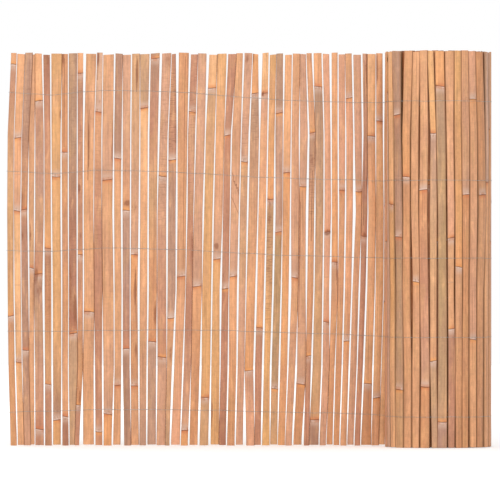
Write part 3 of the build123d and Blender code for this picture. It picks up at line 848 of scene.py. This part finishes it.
class SlatMaker:
    """Makes the grids of slats, with the scene's sizes and tones and one run of draws."""

    def __init__(self, context, draws):
        tones = context.scene.bamboo_tones
        self.sizes = context.scene.bamboo_sizes
        self.rng = np.random.default_rng(self.sizes.seed + draws)
        self.colours = {letter: tuple(getattr(tones, f"tone_{letter}")) for letter in TONES}

    def swell(self, knot):
        """How far a slat stands proud and is wider beside a knot: a bell curve on the side with
        the bloom and a slow fall on the stained side, less the narrow bell of the scar line."""
        ridge = np.exp(-((knot - RIDGE_AT) / RIDGE_WIDTH) ** 2)
        bulge = BULGE_SHARE * np.exp(-np.clip(knot, 0, None) / BULGE_WIDTH) * (knot > 0)
        scar = np.exp(-(knot / SCAR_WIDTH) ** 2)
        lift = self.sizes.swell * (RIDGE_SHARE * ridge + bulge) - self.sizes.groove * scar
        return lift, WIDENING * (ridge + bulge)

    def insets(self, heights, rooms, knots, widen):
        """How far both edges lie inside their lines: they wander smoothly and jump at each knot,
        less so where the room beside them is small."""
        internode = np.searchsorted(np.array(knots), heights)
        jumps = self.rng.random((2, len(knots) + 1))
        free = np.clip(np.array(rooms) / WAVER_ROOM, 0.0, 1.0)
        return [free[side] * (self.sizes.waver * (SMOOTH_SHARE * waver(self.rng, heights)
                                                  + JUMP_SHARE * jumps[side][internode]) - widen)
                for side in (0, 1)]

    def depths(self, a, part, lift):
        """Depth of each point before the slat's middle: the skin is a crown that falls as a
        power of the place across, and the back is slightly hollow."""
        half = THICKNESS / 2
        front = half + lift[:, None] - self.sizes.crown * np.abs(a) ** CROWN_POWER
        back = -half + HOLLOW * (1 - a ** 2) - BACK_SHARE * lift[:, None]
        return np.choose(part, [front, front - CORNER_DROP, -HEEL_DEPTH * half, back])

    def levels(self, heights, knot, bloom, a):
        """Height of each point: rows beside a knot are askew, by a slope and a bow that differ
        from knot to knot and fade as a bell curve, and the head is cut at a slant."""
        turn = KNOT_TURN * (heights + bloom * knot)[:, None]
        askew = np.sin(turn) * a + 0.5 * np.cos(turn) * (1 - a ** 2)
        clear = np.clip((heights - heights[0]) / KNOT_REACH, 0.0, 1.0)
        fade = clear * np.exp(-(knot / KNOT_REACH) ** 2)
        z = heights[:, None] + KNOT_SLANT * fade[:, None] * askew
        slant = self.rng.uniform(-HEAD_SLANT, HEAD_SLANT)
        near_head = np.clip((z - heights[-1] + HEAD_REACH) / HEAD_REACH, 0, 1)
        return z - near_head * np.abs(slant) * (1 + np.sign(slant) * a) / 2

    def grid(self, heights, edges, rooms, look, facing, tilt, ring, flaws=None):
        """A slat as a grid of rows up it and points round its section. At each height the
        section lies on the line between its two edges, points in plan, and turns by the tilt.
        The rooms are those beside both edges, and the look is its knots, the tones between them
        and the side with the bloom. Returns points, quads, caps and the values of each point."""
        start, end = edges
        knots, _, bloom = look
        across, part = ring
        knot = nearest_knot(heights, knots, bloom)
        lift, widen = self.swell(knot)
        left, right = self.insets(heights, rooms, knots, widen)
        chord = end - start
        width = np.linalg.norm(chord, axis=1)
        along = chord / width[:, None]
        outward = facing * np.stack([-along[:, 1], along[:, 0]], 1)
        middle = (start + end) / 2 + along * ((left - right) / 2)[:, None]
        a = np.tile(across, (len(heights), 1))
        aside = a * ((width - left - right) / 2)[:, None]
        depth = self.depths(a, part, lift) + aside * tilt
        place = (middle[:, None] + along[:, None] * aside[..., None]
                 + outward[:, None] * depth[..., None])
        z = self.levels(heights, knot, bloom, a)
        points = self.cut(np.concatenate([place, z[..., None]], 2))
        values = self.values(heights, rooms, look, knot, ring, flaws or {})
        return points.reshape(-1, 3), *ring_faces(*points.shape[:2], facing < 0), values

    def values(self, heights, rooms, look, knot, ring, flaws):
        """What the material reads at each point: the distance from a knot, the place across, what
        is inner wood, the painted shade of a touching edge, the grain's seed, the flaws and the
        tone."""
        across, part = ring
        # Painted shade that grows towards an edge as the room beside it shrinks
        close = 1.0 - np.clip(np.array(rooms)[..., None] / SHADE_ROOM, 0.0, 1.0)
        shade = with_caps(np.where(across < 0, close[0], close[1]) * np.abs(across))
        whole = np.ones_like(shade)
        inner = (part != SKIN) * whole
        inner[[0, -1]] = 1.0
        seed = self.rng.uniform(0, GRAIN_SEEDS) * whole
        values = {"shade": shade, "knot": with_caps(knot)[:, None] * whole,
                  "edge": np.abs(across) * whole, "inner": inner, "seed": seed,
                  "crack": FAR_CRACK * whole, "mark": 0.0 * whole, "lined": 0.0 * whole}
        values.update({name: with_caps(value) for name, value in flaws.items()})
        values = {name: value.ravel() for name, value in values.items()}
        tone = internode_tones(heights, look[0], look[1], self.colours)
        values["tone"] = np.repeat(with_caps(tone), len(across), 0)
        return values

    def cut(self, points):
        """Adds the cut faces at both ends, smaller than the section, with a worn rim."""
        ends = points[[0, -1]]
        centres = ends.mean(1, keepdims=True)
        cuts = centres + (ends - centres) * np.array([CUT_SHARE, CUT_SHARE, 1.0])
        points[0, :, 2] += CUT_RIM
        points[-1, :, 2] -= CUT_RIM
        return np.concatenate([cuts[:1], points, cuts[1:]])


def rows_of(table, number):
    """The rows of a table that are of that slat, without its number."""
    return [row[1:] for row in table if row[0] == number]


def crack_distance(number, heights, width, across):
    """Distance across the slat from its nearest crack, large above and below it."""
    distance = np.full((len(heights), len(across)), FAR_CRACK)
    for lower, upper, low, high in rows_of(CRACKS, number):
        place = np.interp(heights, (low, high), (lower, upper))
        aside = (across[None, :] - place[:, None]) * width[:, None] / 2
        inside = (heights >= low) & (heights <= high)
        nearer = inside[:, None] & (np.abs(aside) < np.abs(distance))
        distance = np.where(nearer, aside, distance)
    return distance


def mark_strength(number, heights, width, across):
    """Strength of the brown marks: bell curves about their middles, the strongest one at each
    point."""
    strength = np.zeros((len(heights), len(across)))
    for place, level, half_width, half_height, peak in rows_of(MARKS, number):
        aside = (across[None, :] - place) * width[:, None] / 2 / (half_width * MM)
        off = (heights[:, None] - level) / (half_height * MM)
        strength = np.maximum(strength, peak * np.exp(-aside ** 2 - off ** 2))
    return strength


def line_strength(number, heights, across):
    """Strength of the cross lines, which fades out over the ends of their stretch."""
    strength = np.zeros((len(heights), len(across)))
    for low, high, peak in rows_of(CROSS_LINED, number):
        inside = np.clip(np.minimum(heights - low, high - heights) / LINE_FADE, 0.0, 1.0)
        strength = np.maximum(strength, peak * inside[:, None])
    return strength


def flaw_rows(number):
    """Extra heights for a slat's rows, beside its marks and at the ends of its cracks."""
    rows = []
    for _, level, _, half_height, _ in rows_of(MARKS, number):
        rows += list(level + np.linspace(-MARK_REACH, MARK_REACH, MARK_ROWS) * half_height * MM)
    for _, _, low, high in rows_of(CRACKS, number):
        rows += [low - 0.5 * MM, low, high, high + 0.5 * MM]
    return rows


def solid_levels(node):
    """Foot, head and knot heights of a flat slat, read from its solid: the knots are the levels
    whose front stands proud."""
    points = solid_points(node)
    key = np.round(points[:, 2], 4)
    levels = np.unique(key)
    front = np.array([points[key == level, 1].min() for level in levels])
    return levels[0], levels[-1], levels[front < MAT_Y - THICKNESS / 2 - PROUD]


def seen_x(columns, scale=MAT_SCALE):
    """X of what shows at pixel columns, where a metre is so many pixels."""
    return CAMERA_X + (columns - FRAME_PIXELS / 2) / scale


def seen_levels(scale=MAT_SCALE):
    """Heights at which the slats' edges are given, from foot to head."""
    return CAMERA_Z + (FRAME_PIXELS / 2 - np.array(SEEN_ROWS)[::-1]) / scale


def flat_edges(heights):
    """Left and right edges of all flat slats at the given heights, one row of values a slat.
    The split edges stand out past the face, and neighbours that would meet part halfway."""
    places = seen_x(np.array(FLAT_COLUMNS))[:, ::-1]
    right, left = (np.array([np.interp(heights, seen_levels(), row) for row in places[:, side::2]])
                   for side in (0, 1))
    left -= SPLIT_EDGE
    right += SPLIT_EDGE
    halfway = (right[:-1] + left[1:]) / 2
    right[:-1] = np.minimum(right[:-1], halfway - TOUCH_GAP / 2)
    left[1:] = np.maximum(left[1:], halfway + TOUCH_GAP / 2)
    return left, right


# Roll


def arc_radius(half_turn):
    """Radius of the mat's middle line in a half turn."""
    return ROLL_RADIUS - half_turn * TURN_PITCH / 2


def mat_line(distance):
    """Points on the mat's middle line and its back-facing direction, by the distance past the
    start of the run: a straight line, then half circles about two middles in turn."""
    distance = np.atleast_1d(np.asarray(distance, float))
    point = np.stack([RUN_START + distance, np.full_like(distance, MAT_Y)], 1)
    outward = np.tile([0.0, 1.0], (len(distance), 1))
    begun = ROLL_MIDDLE - RUN_START
    for k in range(HALF_TURNS):
        radius = arc_radius(k)
        ended = begun + np.pi * radius
        here = (distance > begun) & ((distance <= ended) | (k == HALF_TURNS - 1))
        turned = np.pi / 2 - k * np.pi - (distance[here] - begun) / radius
        way = np.stack([np.cos(turned), np.sin(turned)], 1)
        middle = np.array([ROLL_MIDDLE, MAT_Y - ROLL_RADIUS - (k % 2) * TURN_PITCH / 2])
        point[here] = middle + way * radius
        outward[here] = way
        begun = ended
    return point, outward


def distance_at_column(column, row_scale):
    """Distance along the mat of the point at the front of the roll that a pixel column shows:
    the inverse sine on the first half turn, and on the second left of the roll's middle."""
    reach = seen_x(column, row_scale) - ROLL_MIDDLE
    first = ROLL_MIDDLE - RUN_START + np.pi * arc_radius(0)
    way = np.where(reach > 0, -1.0, 1.0)
    radius = np.where(reach > 0, arc_radius(0), arc_radius(1))
    return first + way * radius * np.arcsin(np.clip(-way * reach / (radius + THICKNESS / 2), 0, 1))


def roll_joints():
    """Distances along the mat where one slat of the run and the roll meets the next."""
    length = ROLL_MIDDLE - RUN_START + np.pi * sum(arc_radius(k) for k in range(HALF_TURNS))
    joints = np.cumsum([0.0, *RUN_PITCHES, *OUTER_PITCHES]) * MM
    inner = np.arange(joints[-1] + INNER_PITCH * MM, length, INNER_PITCH * MM)
    return np.concatenate([joints, inner])


class RollSlat:
    """A slat of the run or the roll: its two edges as distances along the mat by height, and its
    look as knots, tones and the side with the bloom."""

    def __init__(self, number, joints, rng):
        inner = number >= BEFORE_INNER
        gap = rng.uniform(*GAP_RANGE) * MM
        lean = rng.uniform(*LEAN_RANGE) * MM
        shrink = rng.uniform(*SHRINK_RANGE) * MM
        if inner:
            gap = rng.uniform(*INNER_GAP_RANGE) * MM
            lean *= INNER_LEAN
        sway = np.array([0.0, lean])
        # Painted shade: the tone of the inner turns is darkened warm brown
        self.shade_tint = np.array(INNER_TURN_SHADE if inner else (1.0, 1.0, 1.0))
        self.levels = np.array([0.0, 1.0])
        self.start = joints[number] + gap + sway
        self.end = joints[number + 1] - gap - shrink + sway
        pick = rng.integers(len(OTHER_LOOKS))
        self.look = (OTHER_KNOTS[pick], OTHER_LOOKS[pick], rng.choice([-1, 1]))
        self.foot = rng.uniform(*FOOT_RANGE) * MM
        self.head = 1.0 - rng.uniform(*HEAD_RANGE) * MM
        self.tilt = rng.uniform(-ROLL_TILT, ROLL_TILT)
        outer = number - len(RUN_PITCHES)
        if outer in SEEN_SLATS:
            columns, *self.look = SEEN_SLATS[outer]
            self.follow(columns)

    def follow(self, columns):
        """Takes the edges that the photograph shows."""
        near = MAT_SCALE * (MAT_Y - CAMERA_Y) / (MAT_Y - ROLL_RADIUS * ROLL_FRONT - CAMERA_Y)
        self.levels = seen_levels(near)
        right, left = np.array(columns[1::2])[::-1], np.array(columns[0::2])[::-1]
        start = distance_at_column(right, near) - ROLL_EDGE
        end = distance_at_column(left, near) + ROLL_EDGE
        self.start = np.where(right > 0, start, self.start.mean())
        self.end = np.where(left > 0, end, self.end.mean())

    def edges(self, heights):
        """Both edges at the given heights."""
        return (np.interp(heights, self.levels, self.start),
                np.interp(heights, self.levels, self.end))

    def surface(self, maker, step, ring, before, after):
        """The slat's grid, between the slat before it and the one after it, if any."""
        heights = slat_rows(self.foot, self.head, self.look[0], step)
        start, end = self.edges(heights)
        free = np.full_like(heights, FREE_ROOM)
        rooms = [start - before.edges(heights)[1] if before else free,
                 after.edges(heights)[0] - end if after else free]
        surface = maker.grid(heights, (mat_line(start)[0], mat_line(end)[0]), rooms, self.look,
                             1, self.tilt, ring)
        values = surface[-1]
        # Painted shade: the roll's slats darken towards their edges, and the tone of the inner
        # turns is darkened
        values["shade"] = np.maximum(values["shade"], ROLL_SHADE * values["edge"])
        values["tone"] *= self.shade_tint
        return surface


def roll_slats(seed):
    """All slats of the run and the roll, in order along the mat."""
    rng = np.random.default_rng(seed + ROLL_DRAWS)
    joints = roll_joints()
    return [RollSlat(number, joints, rng) for number in range(len(joints) - 1)]


# Operators


class BAMBOO_OT_flat_slats(bpy.types.Operator):
    """Build the slats of the flat mat in place of their solids"""

    bl_idname = "bamboo.flat_slats"
    bl_label = "Flat slats"

    def execute(self, context):
        maker = SlatMaker(context, 0)
        step, *ring_counts = FLAT_DETAIL
        ring = section_ring(*ring_counts)
        for number, (tones, bloom) in enumerate(FLAT_LOOKS, 1):
            node = f"slat_{number:02d}"
            foot, head, knots = solid_levels(node)
            heights = slat_rows(foot, head, knots, step, flaw_rows(number))
            left, right = flat_edges(heights)
            free = np.full_like(heights, FREE_ROOM)
            rooms = np.vstack([free, left[1:] - right[:-1], free])[number - 1:number + 1]
            edges = [np.stack([side[number - 1], np.full_like(heights, MAT_Y)], 1)
                     for side in (left, right)]
            width = right[number - 1] - left[number - 1]
            flaws = {"crack": crack_distance(number, heights, width, ring[0]),
                     "mark": mark_strength(number, heights, width, ring[0]),
                     "lined": line_strength(number, heights, ring[0])}
            tilt = maker.rng.uniform(-FLAT_TILT, FLAT_TILT)
            surface = maker.grid(heights, edges, rooms, (knots, tones, bloom), -1, tilt, ring,
                                 flaws)
            piece = make_piece(f"bamboo_slat_{number:02d}", [surface], bamboo())
            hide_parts(node)
        return {"FINISHED"}


class BAMBOO_OT_rolled_mat(bpy.types.Operator):
    """Build the slats behind the roll and round it in place of the roll's solid"""

    bl_idname = "bamboo.rolled_mat"
    bl_label = "Rolled mat"

    def execute(self, context):
        maker = SlatMaker(context, SURFACE_DRAWS)
        slats = roll_slats(maker.sizes.seed)
        groups = (("rolled_outer_turn", slats[:BEFORE_INNER], OUTER_DETAIL),
                  ("rolled_inner_turns", slats[BEFORE_INNER:], INNER_DETAIL))
        for name, members, (step, *ring_counts) in groups:
            ring = section_ring(*ring_counts)
            beside = zip(members, [None] + members[:-1], members[1:] + [None])
            surfaces = [slat.surface(maker, step, ring, before, after)
                        for slat, before, after in beside]
            piece = make_piece(name, surfaces, bamboo())
            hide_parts("rolled_mat")
        return {"FINISHED"}


class BAMBOO_OT_binding_wires(bpy.types.Operator):
    """Build the pairs of binding wires, which cross between the slats"""

    bl_idname = "bamboo.binding_wires"
    bl_label = "Binding wires"

    def execute(self, context):
        sizes = context.scene.bamboo_sizes
        material = galvanised_wire()
        slats = roll_slats(sizes.seed)
        for row in range(1, WIRE_ROWS + 1):
            node = f"binding_wire_{row}"
            places, levels = self.wire_levels(node)
            edges = self.slat_edges(slats, places, levels)
            strands = [self.strand(edges, side, sizes, places, levels) for side in (1, -1)]
            piece = make_piece(f"twisted_wire_{row}", strands, material)
            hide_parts(node)
        return {"FINISHED"}

    def wire_levels(self, node):
        """Places along the mat and heights of a wire, read from the front leg of its solid."""
        points = solid_points(node)
        front = points[np.abs(points[:, 1] - LEG_Y) < LEG_ROOM]
        key = np.round(front[:, 0], 3)
        places = np.unique(key)
        levels = np.array([front[key == place, 2].mean() for place in places])
        return places - RUN_START, levels

    def slat_edges(self, slats, places, levels):
        """Both edges of every slat as distances along the mat, at the wire's height."""
        first = flat_edges(np.array([np.mean(levels)]))[0][:, 0]
        heights = np.interp(first - RUN_START, places, levels)
        left, right = (np.diagonal(side) - RUN_START for side in flat_edges(heights))
        return [*zip(left, right), *(slat.edges(levels[-1]) for slat in slats)]

    def strand(self, edges, side, sizes, places, levels):
        """One wire of a pair. It lies on one face of a slat, and in a gap that is wide enough
        it turns round its neighbour and comes out on the other face."""
        clear = THICKNESS / 2 + sizes.wire / 2 + WIRE_CLEARANCE
        path = [(edges[0][0] - WIRE_LEAD, 0.0, 0.0)]
        for (left, right), following in zip(edges, edges[1:] + [None]):
            path += [(left + share * (right - left), side * clear * ease, 0.0)
                     for share, ease in ON_SLAT]
            gap = following[0] - right if following else 0.0
            if gap < CROSSING_GAP:
                continue
            turns = 3 if gap > TWISTED_GAP else 1
            angle = np.linspace(0.0, turns * np.pi, 4 * turns + 1)
            way = right + gap * np.linspace(TWIST_FROM, TWIST_TO, 4 * turns + 1)
            off = side * sizes.wire / 2
            path += [*zip(way, off * np.cos(angle), off * np.sin(angle))]
            side = -side
        return self.tube(np.array(path), sizes, places, levels)

    def tube(self, path, sizes, places, levels):
        """A round wire: circles of points square to the path, joined in rows. The path holds
        distances along the mat, depths and heights off the wire's level, which sags a little."""
        rng = np.random.default_rng(sizes.seed + len(path))
        flat_point, outward = mat_line(path[:, 0])
        centre = flat_point + outward * path[:, 1:2]
        sag = waver(rng, path[:, 0], 4, WIRE_WAVE) - 0.5
        z = np.interp(path[:, 0], places, levels) + path[:, 2] + sizes.sag * sag
        line = np.concatenate([centre, z[:, None]], 1)
        way = np.gradient(line, axis=0)
        way /= np.linalg.norm(way, axis=1)[:, None]
        aside = np.cross(way, [0.0, 0.0, 1.0])
        aside /= np.linalg.norm(aside, axis=1)[:, None]
        upright = np.cross(aside, way)
        angle = (np.arange(WIRE_SIDES) * 2 * np.pi / WIRE_SIDES)[None, :, None]
        points = line[:, None] + sizes.wire / 2 * (np.cos(angle) * aside[:, None]
                                                   + np.sin(angle) * upright[:, None])
        # Each quad starts at its lower corner, which sets the way it is split in two
        quads, caps = ring_faces(len(line), WIRE_SIDES, True)
        return points.reshape(-1, 3), np.roll(quads, 1, 1), caps, {}


class BAMBOO_OT_studio(bpy.types.Operator):
    """Build the floor, the lamps, the white surroundings and the camera"""

    bl_idname = "bamboo.studio"
    bl_label = "Studio"

    def execute(self, context):
        scene = context.scene
        self.make_floor()
        scene.world = white_world(scene.bamboo_studio.ambient)
        for name, place in LAMPS.items():
            self.make_lamp(scene, f"{name}_lamp", place, getattr(scene.bamboo_studio, name))
        camera = bpy.data.cameras.new("camera")
        camera.sensor_width = SENSOR
        camera.lens = LENS
        camera.clip_start, camera.clip_end = CLIP_RANGE
        viewer = bpy.data.objects.new("camera", camera)
        viewer.location = (CAMERA_X, CAMERA_Y, CAMERA_Z)
        viewer.rotation_euler = (np.pi / 2, 0.0, 0.0)
        scene.collection.objects.link(viewer)
        scene.camera = viewer
        scene.view_settings.view_transform = "Standard"
        return {"FINISHED"}

    def make_floor(self):
        """A wide floor as a level grid."""
        count = FLOOR_CELLS + 1
        side = np.linspace(-FLOOR_HALF, FLOOR_HALF, count)
        x, y = np.meshgrid(side, side)
        points = np.stack([x, y, np.full_like(x, FLOOR_Z)], 2).reshape(-1, 3)
        low = (np.arange(FLOOR_CELLS)[:, None] * count + np.arange(FLOOR_CELLS)).ravel()
        quads = np.stack([low, low + 1, low + count + 1, low + count], 1)
        floor = mesh_object("studio_floor", points, quads.tolist(), studio_white())

    def make_lamp(self, scene, name, place, power):
        """A square soft lamp that looks at the middle of the fence."""
        lamp = bpy.data.lights.new(name, "AREA")
        lamp.energy = power
        lamp.size = LAMP_SIZE
        holder = bpy.data.objects.new(name, lamp)
        holder.location = place
        aim = -holder.location.copy()
        aim.z += LAMP_AIM
        holder.rotation_euler = aim.to_track_quat("-Z", "Y").to_euler()
        scene.collection.objects.link(holder)


class BAMBOO_PT_panel(bpy.types.Panel):
    """Lists the pieces and settings of the fence"""

    bl_idname = "BAMBOO_PT_panel"
    bl_label = "Bamboo Fence"
    bl_space_type = "VIEW_3D"
    bl_region_type = "UI"
    bl_category = "Bamboo Fence"

    def draw(self, context):
        for operator in OPERATORS:
            self.layout.operator(operator.bl_idname)
        for group in SETTINGS:
            settings = getattr(context.scene, group)
            for name in settings.bl_rna.properties.keys():
                if name not in ("rna_type", "name"):
                    self.layout.prop(settings, name)


SETTINGS = {"bamboo_sizes": BambooSizes, "bamboo_studio": StudioSettings,
            "bamboo_tones": BambooTones}
OPERATORS = (BAMBOO_OT_flat_slats, BAMBOO_OT_rolled_mat, BAMBOO_OT_binding_wires,
             BAMBOO_OT_studio)
CLASSES = (*SETTINGS.values(), *OPERATORS, BAMBOO_PT_panel)


def register():
    for kind in CLASSES:
        bpy.utils.register_class(kind)
    for name, group in SETTINGS.items():
        setattr(bpy.types.Scene, name, PointerProperty(type=group))


def unregister():
    for name in SETTINGS:
        delattr(bpy.types.Scene, name)
    for kind in reversed(CLASSES):
        bpy.utils.unregister_class(kind)


def main():
    register()
    bpy.ops.bamboo.flat_slats()
    bpy.ops.bamboo.rolled_mat()
    bpy.ops.bamboo.binding_wires()
    bpy.ops.bamboo.studio()


if __name__ == "__main__":
    main()
